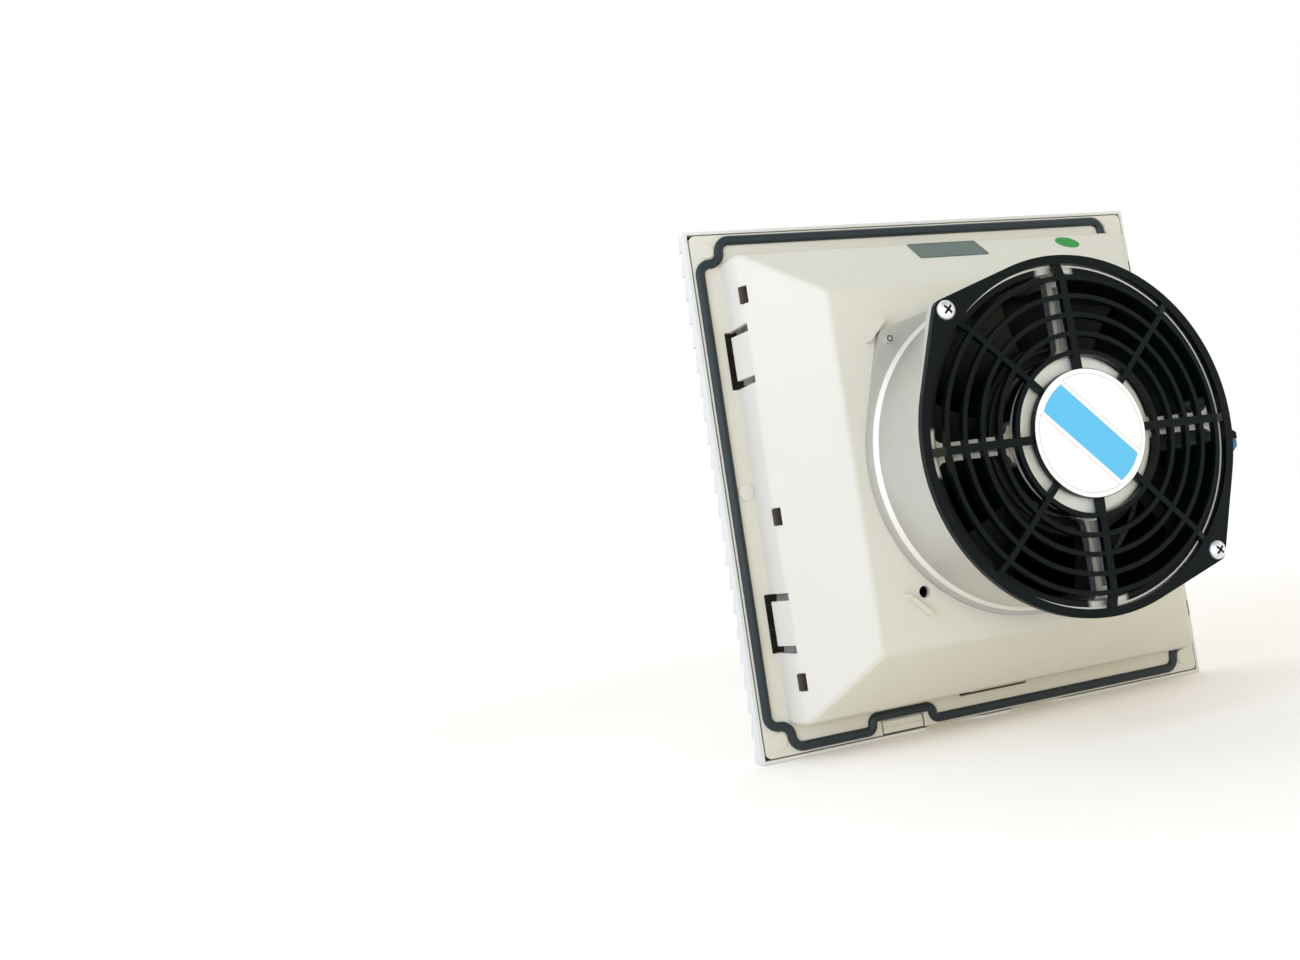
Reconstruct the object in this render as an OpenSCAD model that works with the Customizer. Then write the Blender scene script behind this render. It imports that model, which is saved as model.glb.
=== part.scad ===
// Cabinet filter fan: louvred front cover, filter mat, moulded hood and axial fan with finger guard.
// The origin is the centre of the panel face. +Z is up, the cover faces -Y, the fan faces +Y.

/* [Front cover] */
// Outside width and height of the square cover
cover_size = 255; // [240:1:280]
// Thickness of the cover's rim wall
rim_wall = 1.5; // [1.2:0.1:2]
// Gap between the cover's rim and the housing flange
rim_gap = 0.7; // [0.4:0.1:1]
// Wanted spacing of the louvre blades
blade_pitch = 11.8; // [10:0.2:15]
// How far each blade tip stands out past the blade below it
blade_step = 5; // [4:0.5:6]
// Thickness of a blade, measured front to back
blade_t = 1.8; // [1.4:0.1:2.2]
// Height of the band above the first blade tip
top_band = 7; // [5:0.5:9]
// How far a blade reaches up behind the one above it
blade_lap = 2; // [1:0.5:3]
// Number of upright stiffeners behind the blades
stiffener_count = 5; // [3:1:7]
// Thickness of a stiffener
stiffener_t = 1.6; // [1.2:0.1:2.4]
// Width of a finger recess in the cover's lower edge
scallop_w = 33; // [24:1:40]
// Depth of a finger recess
scallop_depth = 5; // [3:0.5:6]
// Width of the lip between the two finger recesses
scallop_lip = 16; // [12:1:24]

/* [Housing flange] */
// Thickness of the flange
flange_t = 3; // [2.5:0.1:4]
// Width of the seat from the hood's wall to the flange edge
seat_w = 13.8; // [13:0.1:17]
// Corner radius of the flange
flange_corner = 3; // [2:0.5:5]
// Diameter of the round bosses on the seat
disc_d = 7.6; // [5:0.2:7.8]
// Height of the round bosses
disc_h = 0.6; // [0.2:0.1:0.8]

/* [Seal] */
// Width of the foam seal
seal_w = 4.6; // [3.6:0.2:5]
// Height of the foam seal above the flange
seal_h = 2.2; // [1.5:0.1:3]
// Distance from the flange edge to the seal's centre line
seal_edge = 3.1; // [2.7:0.1:3.4]
// Radius of the seal's bends round a corner boss
seal_bend = 5.5; // [5:0.1:6]
// How far the seal steps inwards above the cover catch
seal_jog = 6.2; // [5.8:0.1:6.6]

/* [Hood] */
// Thickness of the hood's wall
hood_wall = 2.5; // [2:0.1:3]
// Draft of the hood's upright wall
hood_draft = 1.1; // [0.6:0.1:1.6]
// Height of the shoulder above the panel face, which is the filter chamber
shoulder_y = 18.7; // [17:0.1:24]
// Height of the slope from the shoulder to the fan plate
slope_h = 31.8; // [26:0.1:40]
// Thickness of the fan plate
plate_t = 3; // [2.5:0.1:4]
// Plain margin of the fan plate outside the fan's flange
plate_margin = 6.3; // [5:0.1:9]
// Radius of the hood's upright corners
hood_corner = 2.5; // [1:0.5:4]
// Size of the softened edges at the shoulder and the fan plate
hood_edge = 1.7; // [1:0.1:2.2]
// Diameter of the four fan screw holes in the fan plate
fan_hole_d = 5.5; // [5:0.1:6]
// Length of a locating rib beside the fan
rib_l = 14.6; // [10:0.2:18]
// Width of a locating rib
rib_w = 2; // [1.5:0.1:2.5]
// Height of a locating rib
rib_h = 3.5; // [2.5:0.1:5]

/* [Panel clips] */
// Width of a clip tongue at the sides and the top
clip_w = 21; // [16:0.5:24]
// Width of the clip tongue at the bottom
clip_bottom_w = 32; // [26:0.5:36]
// Free slot beside a clip tongue
clip_slot = 3.5; // [2.5:0.1:5]
// Distance of the side clips from the middle
clip_offset = 63.3; // [55:0.1:66]
// Thickness of a clip tongue
clip_t = 2.2; // [1.8:0.1:2.6]
// How far a clip's tip stands out past the hood's wall
clip_reach = 1.3; // [0.8:0.1:2]
// Gap between the panel face and a clip's tip
clip_grip = 2.6; // [2:0.1:4]
// Room cut into the flange in front of a clip
clip_relief = 3; // [2.5:0.1:4]
// Radius of a clip's rounded root
clip_root = 1.2; // [1:0.1:1.3]

/* [Filter] */
// Gap between the filter mat and the hood's wall
mat_gap = 2.8; // [2.4:0.1:4]
// How far the mat stands forward of the panel face
mat_front = 1; // [0.5:0.1:1.4]
// Thickness of the support grid
grid_t = 2.6; // [2:0.1:3]
// Width of the grid's outer frame
grid_border = 5; // [4:0.5:7]
// Height of the closed strip along the grid's lower edge
grid_sill = 10; // [8:0.5:14]
// Width of a grid bar
grid_bar = 1.8; // [1.4:0.1:2.4]
// Number of upright grid bars
grid_uprights = 5; // [3:1:7]
// Number of level grid bars
grid_levels = 22; // [14:1:26]
// Radius of the ring in the middle of the grid
grid_ring_r = 9; // [7:0.5:12]
// Width of a grid hook's window in the hood
hook_window_w = 8.2; // [6:0.1:9]
// Height of a grid hook's window
hook_window_h = 3.8; // [2.6:0.1:4.2]
// Width of a grid hook
hook_w = 3.4; // [2.5:0.1:5]
// Places of the hooks along a side
hook_places = [90.5, -14, -90.5];

/* [Cover catch] */
// Width of the catch
catch_w = 21.8; // [16:0.2:26]
// Distance of the catch from the middle
catch_x = 52.6; // [46:0.1:60]
// Slot beside the catch
catch_slot = 0.8; // [0.5:0.1:1.2]

/* [Fan] */
// Radius of the fan's duct
duct_r = 69.5; // [66:0.1:74]
// Wall of the fan's barrel
barrel_wall = 3; // [2.5:0.1:4]
// How far the fan's end flanges stand out from the barrel
fan_flange_out = 3.5; // [3:0.1:4.5]
// Distance of the fan screws outside the flange's edge
ear_out = 5; // [4.5:0.1:6]
// Height of the fan
fan_h = 51; // [46:0.5:56]
// Radius of the rounded end of a fan ear
ear_r = 5; // [4.5:0.1:5.5]
// Thickness of the fan's end flanges
fan_flange_t = 3.5; // [3:0.1:4.5]
// Radius of the motor's carrier disc
carrier_r = 34.6; // [33:0.1:37]
// Thickness of the carrier disc
carrier_t = 7.2; // [6:0.1:8]
// How far the carrier disc stands out past the fan's outlet face
carrier_proud = 1.7; // [0:0.1:2]
// Width of a carrier arm
arm_w = 7.7; // [6:0.1:9]
// Thickness of a carrier arm
arm_t = 4; // [3:0.1:5]
// Radius of the fillets at both ends of an arm
arm_fillet = 4; // [2:0.1:5]
// Depth of the channel along an arm
arm_channel = 1.4; // [0.8:0.1:2]

/* [Motor] */
// Radius of the shaft
shaft_r = 4; // [3.5:0.1:4.5]
// Outside radius of a ball bearing
bearing_r = 11; // [10:0.1:12]
// Width of a ball bearing
bearing_w = 7; // [6:0.1:8]
// Wall of the bearing tube
tube_wall = 2.5; // [2:0.1:3]
// Outside radius of the stator core
stator_r = 34; // [32:0.1:35]
// Length of the stator core
stator_l = 13.5; // [11:0.1:15]
// Number of stator slots
stator_slots = 12; // [8:2:18]
// Radial air gap of the motor
air_gap = 0.4; // [0.3:0.05:0.6]
// Radial thickness of the rotor's laminated ring
rotor_ring_t = 3.95; // [3:0.05:4.5]
// Wall of the rotor cup
cup_wall = 1.6; // [1.2:0.1:2]

/* [Impeller] */
// Number of impeller blades
vane_count = 7; // [5:1:9]
// Wall of the impeller's hub
hub_wall = 2.5; // [2:0.1:3]
// Gap between a blade tip and the duct
tip_gap = 1.7; // [1.2:0.1:2.5]
// Blade angle at the hub, from the plane of rotation
vane_root_angle = 46; // [40:1:52]
// Blade angle at the tip
vane_tip_angle = 29; // [26:1:34]
// Greatest thickness of a blade
vane_t = 2.4; // [1.8:0.1:3]
// Height of a blade's arched camber
vane_camber = 2.6; // [1.5:0.1:4]

/* [Finger guard] */
// How far the guard's rim stands out past the fan's flange
guard_over = 1.3; // [0.5:0.1:2]
// Radial width of the guard's rim
guard_rim = 3.8; // [3:0.1:5]
// Thickness of the guard's rim and ears
guard_t = 3; // [2.5:0.1:4]
// Radius of the guard's middle disc
guard_disc_r = 27.5; // [24:0.1:30]
// Height of the outer ring's top above the rim
guard_rise = 2; // [1:0.1:3]
// Further rise of the rings from the outer one to the inner one
guard_dome = 0.9; // [0:0.1:2]
// Height of the middle disc's top above the rim
guard_disc_rise = 3.9; // [3.3:0.1:5]
// Number of rings between the disc and the rim
guard_rings = 5; // [3:1:6]
// Radius of the inner ring's middle line
guard_ring_in = 34.7; // [33:0.1:36]
// Distance from the duct's wall in to the outer ring's middle line
guard_ring_set = 2.5; // [1.5:0.1:4]
// Width of a guard ring
guard_ring_w = 2.1; // [1.6:0.1:2.6]
// Width of an upright or level guard rib
guard_rib_w = 3.5; // [2.5:0.1:5]
// Width of a diagonal guard rib
guard_diagonal_w = 2.5; // [2:0.1:4]

/* [Screws and terminals] */
// Radius of the fan and guard screws
screw_r = 2; // [1.8:0.1:2.1]
// Radius of a pan head
head_r = 4.15; // [3.8:0.05:4.4]
// Height of a pan head
head_h = 2.6; // [2:0.1:3]
// Radial clearance of a screw in its tapped ear
screw_clear = 0.1; // [0.05:0.01:0.2]
// Height of the terminal block on the barrel's side
terminal_l = 7.4; // [6:0.2:10]
// Depth of the terminal block
terminal_depth = 11; // [9:0.5:14]
// How far the terminal block stands out past the fan's flange
terminal_out = 12.1; // [10:0.1:14]
// How far the push-on connectors stand out of the terminal block
plug_out = 5; // [4:0.5:8]

/* [Clearances] */
// Parting gap at a flexing root and at a seat
part_gap = 0.3; // [0.2:0.05:0.4]
// Radial running gap of the shaft in its bearings
run_gap = 0.03; // [0.02:0.01:0.06]
// Gap of pieces that are pressed together
press_gap = 0.04; // [0.02:0.01:0.06]

/* [Hidden] */
$fn = 96;
over = 1;
merge = 0.3;

cover_half = cover_size / 2;
rim_in = cover_half - rim_wall;
flange_half = rim_in - rim_gap;
hood_half = flange_half - seat_w;
shoulder_half = hood_half - hood_draft;
barrel_r = duct_r + barrel_wall;
fan_flange_r = barrel_r + fan_flange_out;
fan_r = fan_flange_r + ear_out;
plate_half = fan_flange_r + plate_margin;
plate_y = shoulder_y + slope_h;
slope_fall = (shoulder_half - plate_half) / slope_h;
slope_wall = hood_wall * sqrt(1 + slope_fall * slope_fall);
plate_open_r = duct_r + 2;
rib_gap = 1;
hood_in = hood_half - hood_wall;
hood_in_corner = max(hood_corner - hood_wall, 0.5);

blade_count = round((cover_size - top_band) / blade_pitch) + 1;
pitch = (cover_size - top_band) / (blade_count - 1);
land_h = 2.2;
land_in = hood_half + 1.5;
blade_root_y = -(flange_t + blade_t + rim_wall - part_gap);
blade_tip_y = blade_root_y - blade_step;
blade_rise = blade_step / pitch;
rim_back_y = -part_gap;
rim_proud = 0.15;
stiffener_back_y = -mat_front - part_gap;
stiffener_half = hood_in - 1;
scallop_r = (pow(scallop_w / 2, 2) + pow(scallop_depth, 2)) / (2 * scallop_depth);
scallop_y = rim_back_y - scallop_depth + scallop_r;

seal_half = flange_half - seal_edge;
disc_at = seal_half - seal_bend + 1;
disc_side = seal_half - seal_w / 2 - disc_d / 2 - part_gap;
jog_r = seal_jog / 2;
jog_half = catch_w / 2 + 2.5;

catch_root_r = flange_t * 0.4;
catch_bottom = -flange_half + part_gap;
catch_top = -seal_half + seal_jog - seal_w / 2 - part_gap;
catch_hinge_z = catch_top - part_gap - catch_root_r;
catch_hinge_y = -flange_t / 2;
catch_ridge = 0.6;
catch_ridge_at = 2.9;
catch_lead = 0.5;

clip_hinge_x = shoulder_half - 1.8;
clip_hinge_y = shoulder_y - part_gap - clip_root;
clip_tip_x = hood_half + clip_reach;
clip_lead = 0.4;
clip_nose = 1.4;
clip_slant = 1;
clip_land = 1.2;
clip_sides = [["clip_right_upper", 0, clip_offset, clip_w], ["clip_right_lower", 0, -clip_offset, clip_w],
    ["clip_left_upper", 180, -clip_offset, clip_w], ["clip_left_lower", 180, clip_offset, clip_w],
    ["clip_top", -90, 0, clip_w], ["clip_bottom", 90, 0, clip_bottom_w]];

grid_past = 0.4;
grid_set = 0.9;
grid_half = hood_in - mat_gap + grid_past;
mat_half = hood_in - mat_gap;
grid_y1 = shoulder_y - grid_set;
grid_y0 = grid_y1 - grid_t;
mat_back = grid_y0 - part_gap;
hook_window_set = 1.3;
hook_window_y = shoulder_y - hook_window_set;
hook_t = 2;
hook_h = 1.8;
hook_past = 1.6;

fan_y1 = plate_y + fan_h;
fan_ears = [45, 225];
carrier_y1 = fan_y1 + carrier_proud;
carrier_y0 = carrier_y1 - carrier_t;
carrier_edge = 2;
barrel_fillet = 2.5;
arm_half = arm_w / 2;
arm_root = 2;
channel_half = [2.3, 1.2];
channel_end = 1;
seat_gap = 0.1;
tube_r = bearing_r + tube_wall;
tube_step = 1.5;
tube_lip = bearing_r - tube_step;
tube_past = 1.4;

end_turn_l = 5.8;
end_turn_gap = 0.4;
stator_y1 = carrier_y0 - end_turn_l - part_gap - end_turn_gap;
stator_y0 = stator_y1 - stator_l;
end_turn_in = tube_r + 3.4;
end_turn_out = stator_r - 3;
slot_w = 0.84 * end_turn_in * sin(180 / stator_slots);
slot_mouth = 1.8;
tube_y0 = stator_y0 - end_turn_l - part_gap - tube_past;
rear_bearing_y = carrier_y0 - bearing_w - seat_gap;
bearing_set = 0.8;
front_bearing_y = tube_y0 + bearing_set;

rotor_in = stator_r + air_gap;
cup_in = rotor_in + rotor_ring_t + press_gap;
cup_r = cup_in + cup_wall;
cup_gap = 2;
cup_y1 = carrier_y0 - cup_gap;
boss_h = 2.9;
boss_y1 = front_bearing_y - part_gap;
boss_r = tube_lip - tube_step;
cup_y0 = boss_y1 - boss_h - cup_wall;
retainer_y = rear_bearing_y + bearing_w + part_gap;
retainer_t = 0.7;
shaft_past = 0.8;
shaft_y1 = retainer_y + retainer_t + shaft_past;

hub_in = cup_r + press_gap;
hub_r = hub_in + hub_wall;
hub_floor = 1.9;
hub_y0 = cup_y0 - hub_floor;
hub_set = 1;
hub_y1 = cup_y1 - hub_set;
vane_inset = [1.5, 2];
vane_y0 = hub_y0 + vane_inset[0];
vane_y1 = hub_y1 - vane_inset[1];
vane_seat = 0.1;
vane_tip_r = duct_r - tip_gap;
vane_stations = 6;
vane_points = 7;

guard_y0 = fan_y1;
guard_y1 = guard_y0 + guard_t;
guard_r = fan_flange_r + guard_over;
guard_in = guard_r - guard_rim;
guard_ring_out = duct_r - guard_ring_set;
guard_ring_h = 2.9;
guard_disc_y1 = guard_y1 + guard_disc_rise;

screw_past = 1.5;
head_edge = 0.6;
fan_screw_l = plate_t + fan_flange_t + screw_past;
guard_screw_l = guard_t + fan_flange_t + screw_past;
terminal_y1 = fan_y1 - fan_flange_t - barrel_fillet - part_gap;
terminal_z0 = -9.8;
terminal_z1 = terminal_z0 + terminal_l;
terminal_x0 = -fan_flange_r - terminal_out;
terminal_slant = 4.5;
plug_w = 4.4;
plug_deep = 4;
plug_wall = 1.2;
terminal_seat = 3;

beige = [0.83, 0.82, 0.75];
white = [0.92, 0.93, 0.93];
slate = [0.16, 0.2, 0.21];
umber = [0.2, 0.17, 0.13];
black = [0.11, 0.12, 0.12];
bare_metal = [0.74, 0.74, 0.71];
copper = [0.72, 0.41, 0.2];

// Extrudes a shape drawn in the X-Z plane from y0 to y1
module along_y(y0, y1) {
    translate([0, y1, 0]) rotate([90, 0, 0]) linear_extrude(y1 - y0) children();
}

// Extrudes a shape drawn in the Y-Z plane over a width centred on X = 0
module along_x(width) {
    translate([-width / 2, 0, 0]) rotate([90, 0, 90]) linear_extrude(width) children();
}

// Turns a profile of radius and height about the fan's axis
module around_y() {
    rotate([-90, 0, 0]) rotate_extrude() children();
}

module post_y(r, y0, y1) {
    translate([0, y0, 0]) rotate([-90, 0, 0]) cylinder(r = r, h = y1 - y0);
}

module block(x, y, z) {
    translate([x[0], y[0], z[0]]) cube([x[1] - x[0], y[1] - y[0], z[1] - z[0]]);
}

module rounded_square(half, r) {
    square([2 * half, 2 * (half - r)], center = true);
    square([2 * (half - r), 2 * half], center = true);
    for (x = [-1, 1], z = [-1, 1]) translate([x * (half - r), z * (half - r)]) circle(r);
}

module square_ring(outer, inner) {
    difference() {
        square(2 * outer, center = true);
        square(2 * inner, center = true);
    }
}

// Turns a shape from the +X side of the hood to another side
module on_side(angle, along) {
    rotate([0, angle, 0]) translate([0, 0, along]) children();
}

function arc(c, r, a0, a1, steps = 8) =
    [for (i = [0:steps]) let (a = a0 + (a1 - a0) * i / steps) [c[0] + r * cos(a), c[1] + r * sin(a)]];

function turned(points, a) =
    [for (p = points) [p[0] * cos(a) - p[1] * sin(a), p[0] * sin(a) + p[1] * cos(a)]];

// One corner of the seal, which bends inwards round the corner boss; d widens the outline
function seal_corner(d) = let (s = seal_half, r = seal_bend) concat(
    arc([s - 3 * r, s - r], r + d, 90, 0),
    arc([s - r, s - r], r - d, 180, 270),
    arc([s - r, s - 3 * r], r + d, 90, 0));

// The step of the seal's lower run above the cover catch
function seal_step(d) = let (s = -seal_half, c = catch_x, h = jog_half, q = jog_r) concat(
    arc([c + h + 2 * q, s + q], q + d, 270, 180),
    arc([c + h, s + q], q - d, 0, 90),
    arc([c - h, s + q], q - d, 90, 180),
    arc([c - h - 2 * q, s + q], q + d, 0, -90));

function seal_outline(d) = concat(seal_corner(d), turned(seal_corner(d), -90), seal_step(d),
    turned(seal_corner(d), 180), turned(seal_corner(d), 90));

// Rounded square slices of the hood, as height and half width
function hood_slices(inset) = inset == 0
    ? let (e = hood_edge)
        [[0, hood_half], [shoulder_y - e, shoulder_half + hood_draft * e / shoulder_y],
        [shoulder_y + e, shoulder_half - slope_fall * e], [plate_y - e, plate_half + slope_fall * e],
        [plate_y, plate_half - e]]
    : [[-flange_t - over, hood_in],
        [shoulder_y - (slope_wall - inset) / slope_fall, shoulder_half - inset],
        [plate_y - plate_t, plate_half + slope_fall * plate_t - slope_wall]];

module hood_form(inset) {
    r = inset == 0 ? hood_corner : hood_in_corner;
    slice = 0.01;
    hull() for (level = hood_slices(inset), x = [-1, 1], z = [-1, 1])
        translate([x * (level[1] - r), level[0] - slice, z * (level[1] - r)])
            rotate([-90, 0, 0]) cylinder(r = r, h = slice, $fn = 32);
}

module clip_window(width) {
    block([mat_half, hood_half + clip_relief], [-flange_t - over, shoulder_y], [-width / 2, width / 2]);
}

module hook_window() {
    block([grid_half - hook_t - part_gap, hood_half + over], [hook_window_y, hook_window_y + hook_window_h],
        [-hook_window_w / 2, hook_window_w / 2]);
}

module locating_rib() {
    along_y(plate_y - merge, plate_y + rib_h) {
        square([rib_w, rib_l - rib_w], center = true);
        for (z = [-1, 1]) translate([0, z * (rib_l - rib_w) / 2]) circle(rib_w / 2);
    }
}

module housing() color(beige) {
    difference() {
        union() {
            along_y(-flange_t, 0) rounded_square(flange_half, flange_corner);
            hood_form(0);
            for (a = [0:90:270]) rotate([0, a + 45, 0])
                translate([fan_r + ear_r + rib_w / 2 + rib_gap, 0, 0]) locating_rib();
            for (x = [-1, 1], z = [-1, 1]) translate([x * disc_at, 0, z * disc_at])
                post_y(disc_d / 2, -merge, disc_h);
            for (x = [-1, 1]) translate([x * disc_side, 0, 0]) post_y(disc_d / 2, -merge, disc_h);
        }
        hood_form(hood_wall);
        post_y(plate_open_r, plate_y - plate_t - over, plate_y + over);
        for (a = [0:90:270]) rotate([0, a + 45, 0]) translate([fan_r, 0, 0])
            post_y(fan_hole_d / 2, plate_y - plate_t - over, plate_y + over);
        for (c = clip_sides) on_side(c[1], c[2]) clip_window(c[3] + 2 * clip_slot);
        for (z = hook_places) {
            on_side(0, z) hook_window();
            on_side(180, -z) hook_window();
        }
        block([catch_x - catch_w / 2 - catch_slot, catch_x + catch_w / 2 + catch_slot],
            [-flange_t - over, over], [-flange_half - over, catch_top]);
    }
}

module seal() color(slate)
    along_y(0, seal_h) difference() {
        polygon(seal_outline(seal_w / 2));
        polygon(seal_outline(-seal_w / 2));
    }

function blade_tip_z(k) = cover_half - top_band - k * pitch;

// Front outline of the stepped blades from the top edge to the bottom edge, moved back by set and up by lift
function louvre_front(set, lift) = concat(
    [[blade_tip_y + blade_rise * top_band + set, cover_half]],
    [for (k = [0:blade_count - 2]) let (z = blade_tip_z(k) + lift)
        each [[blade_tip_y + set, z], [blade_root_y + set, z]]],
    [[blade_tip_y + set, -cover_half]]);

module louvre_section(set, lift, back_y)
    polygon(concat(louvre_front(set, lift), [[back_y, -cover_half], [back_y, cover_half]]));

module blade_section(k) {
    z = blade_tip_z(k);
    rise = min(pitch + blade_lap, cover_half - z);
    back = blade_tip_y + blade_rise * rise;
    polygon([[blade_tip_y, z], [blade_tip_y + blade_t, z], [back + blade_t, z + rise], [back, z + rise]]);
}

module louvre_cover() color(white) {
    difference() {
        union() {
            for (x = [-1, 1]) translate([x * (cover_half - rim_wall / 2), 0, 0])
                along_x(rim_wall) louvre_section(-rim_proud, -rim_proud, rim_back_y);
            along_x(cover_size - rim_wall) for (k = [0:blade_count - 1]) blade_section(k);
            block([-cover_half, cover_half], [blade_tip_y + blade_rise * (top_band - rim_wall) + blade_t / 2,
                rim_back_y], [rim_in, cover_half]);
            block([-cover_half, cover_half], [blade_tip_y + blade_t / 2, rim_back_y], [-cover_half, -rim_in]);
            along_y(-flange_t - land_h, -flange_t) square_ring(rim_in + merge, land_in);
            intersection() {
                for (i = [1:stiffener_count])
                    translate([(2 * i / (stiffener_count + 1) - 1) * stiffener_half, 0, 0])
                        along_x(stiffener_t) louvre_section(blade_t / 2, merge, stiffener_back_y);
                cube(2 * stiffener_half, center = true);
            }
        }
        for (x = [-1, 1])
            translate([x * (scallop_lip + scallop_w) / 2, scallop_y, -cover_half - over])
                cylinder(r = scallop_r, h = rim_wall + over);
        block([catch_x - catch_w / 2 - catch_slot, catch_x + catch_w / 2 + catch_slot],
            [-flange_t - land_h - over, -flange_t + over], [-rim_in, catch_top]);
    }
}

// A spring tongue in the flange, with a ridge across it that the cover's lower edge snaps over
module cover_catch() color(beige)
    translate([catch_x, 0, 0]) along_x(catch_w) {
        front = catch_hinge_y - catch_root_r;
        back = catch_hinge_y + catch_root_r;
        ridge = catch_bottom + catch_ridge_at;
        translate([catch_hinge_y, catch_hinge_z]) circle(catch_root_r);
        polygon([[back, catch_hinge_z], [front, catch_hinge_z],
            [front, catch_bottom + catch_lead], [front + catch_lead, catch_bottom],
            [back, catch_bottom], [back, ridge - catch_ridge],
            [back + catch_ridge, ridge], [back, ridge + catch_ridge]]);
    }

module filter_mat() color([0.95, 0.95, 0.94])
    along_y(-mat_front, mat_back) square(2 * mat_half, center = true);

module grid_hook() {
    half_w = hook_w / 2;
    top = hook_window_y + hook_h;
    block([grid_half - hook_t, grid_half], [grid_y0, top], [-half_w, half_w]);
    block([grid_half - merge, grid_half + hook_past], [hook_window_y + part_gap, top], [-half_w, half_w]);
}

module filter_grid() color(umber) {
    inner = grid_half - grid_border;
    low = -grid_half + grid_sill;
    across = 2 * inner / (grid_uprights + 1);
    up = (inner - low) / (grid_levels + 1);
    along_y(grid_y0, grid_y1) {
        square_ring(grid_half, inner);
        translate([-inner - merge, -grid_half]) square([2 * (inner + merge), grid_sill]);
        difference() {
            union() {
                for (i = [1:grid_uprights]) translate([i * across - inner - grid_bar / 2, low - merge])
                    square([grid_bar, inner - low + 2 * merge]);
                for (i = [1:grid_levels]) translate([-inner - merge, low + i * up - grid_bar / 2])
                    square([2 * (inner + merge), grid_bar]);
                circle(grid_ring_r);
            }
            circle(grid_ring_r - 3);
        }
    }
    for (z = hook_places) {
        on_side(0, z) grid_hook();
        on_side(180, -z) grid_hook();
    }
}

// A sprung tongue in the hood's wall: thin rounded root at the shoulder, sloping nose behind the panel
module panel_clip(index) color(beige) {
    c = clip_sides[index];
    on_side(c[1], c[2]) translate([0, 0, -c[3] / 2]) linear_extrude(c[3]) {
        translate([clip_hinge_x, clip_hinge_y]) circle(clip_root);
        polygon([[clip_hinge_x + clip_root, clip_hinge_y], [clip_hinge_x - clip_root, clip_hinge_y],
            [clip_tip_x - clip_t - clip_lead, clip_grip + clip_nose], [clip_tip_x - clip_t, clip_grip],
            [clip_tip_x, clip_grip + clip_slant], [clip_tip_x, clip_grip + clip_slant + clip_land]]);
    }
}

// Outline of a round flange with one ear: the ear's sides touch both circles
module ear_shape(big_r, small_r, at) {
    a = acos((big_r - small_r) / at);
    polygon([[big_r * cos(a), -big_r * sin(a)], [at + small_r * cos(a), -small_r * sin(a)],
        [at + small_r * cos(a), small_r * sin(a)], [big_r * cos(a), big_r * sin(a)]]);
    translate([at, 0]) circle(small_r);
}

module fan_ears(y0, y1) {
    along_y(y0, y1) for (a = fan_ears) rotate(a) difference() {
        ear_shape(fan_flange_r, ear_r, fan_r);
        circle(barrel_r - merge);
        translate([fan_r, 0]) circle(screw_r + screw_clear);
    }
}

// An arm from the carrier disc to the duct's wall, with a fillet on each side at both ends
function arm_outline() = let (f = arm_fillet, h = arm_half,
        side = concat([[carrier_r - arm_root, h + f]], arc([carrier_r + f, h + f], f, 180, 270),
            arc([duct_r - f, h + f], f, 270, 360), [[duct_r + merge, h + f]]))
    concat(side, [for (i = [len(side) - 1:-1:0]) [side[i][0], -side[i][1]]]);

// The tapered channel along the top of an arm
function arm_channel_outline() =
    let (c = channel_half, r0 = carrier_r + arm_root, r1 = duct_r - arm_fillet - channel_end)
    [[r0, -c[0]], [r1, -c[1]], [r1, c[1]], [r0, c[0]]];

module fan_frame() color(bare_metal) {
    bell = 4;
    lip = 1;
    fillet_out = barrel_r + 0.6 * barrel_fillet;
    low = plate_y + fan_flange_t;
    high = fan_y1 - fan_flange_t;
    around_y() polygon(concat(
        [for (p = arc([duct_r + bell, 0], bell, 270, 180, 6)) [p[0], plate_y + 2 * (bell + p[1])]],
        arc([duct_r + lip, fan_y1 - lip], lip, 180, 90, 5),
        [[fan_flange_r, fan_y1], [fan_flange_r, high], [fillet_out, high],
            [barrel_r, high - barrel_fillet], [barrel_r, low + barrel_fillet],
            [fillet_out, low], [fan_flange_r, low], [fan_flange_r, plate_y]]));
    fan_ears(plate_y, plate_y + fan_flange_t);
    fan_ears(fan_y1 - fan_flange_t, fan_y1);
    arm_y1 = carrier_y0 + arm_t;
    along_y(carrier_y0, arm_y1 - arm_channel) for (a = [0:90:270]) rotate(a) polygon(arm_outline());
    along_y(arm_y1 - arm_channel - merge, arm_y1) for (a = [0:90:270]) rotate(a) difference() {
        polygon(arm_outline());
        polygon(arm_channel_outline());
    }
    around_y() polygon(concat([[bearing_r, carrier_y1]],
        arc([carrier_r - carrier_edge, carrier_y1 - carrier_edge], carrier_edge, 90, 0, 5),
        [[carrier_r, carrier_y0], [tube_r, carrier_y0], [tube_r, tube_y0], [bearing_r, tube_y0],
        [bearing_r, front_bearing_y + bearing_w + seat_gap],
        [tube_lip, front_bearing_y + bearing_w + seat_gap],
        [tube_lip, rear_bearing_y - seat_gap], [bearing_r, rear_bearing_y - seat_gap]]));
}

// Pan head screw along +Y with its head's seat at y = 0 and the head on the -Y side
module pan_screw(length) {
    difference() {
        union() {
            around_y() polygon(concat([[0, 0], [head_r, 0]], [for (p = arc([0, 0], head_r, 0, 90, 6))
                [p[0], -head_edge - (head_h - head_edge) * p[1] / head_r]]));
            post_y(screw_r, -merge, length);
        }
        for (a = [0, 90]) rotate([0, a, 0])
            block([-head_r * 0.55, head_r * 0.55], [-head_h - over, -head_h * 0.4], [-0.5, 0.5]);
    }
}

module fan_screws() color(bare_metal)
    for (a = fan_ears) rotate([0, -a, 0]) translate([fan_r, plate_y - plate_t, 0]) pan_screw(fan_screw_l);

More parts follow.
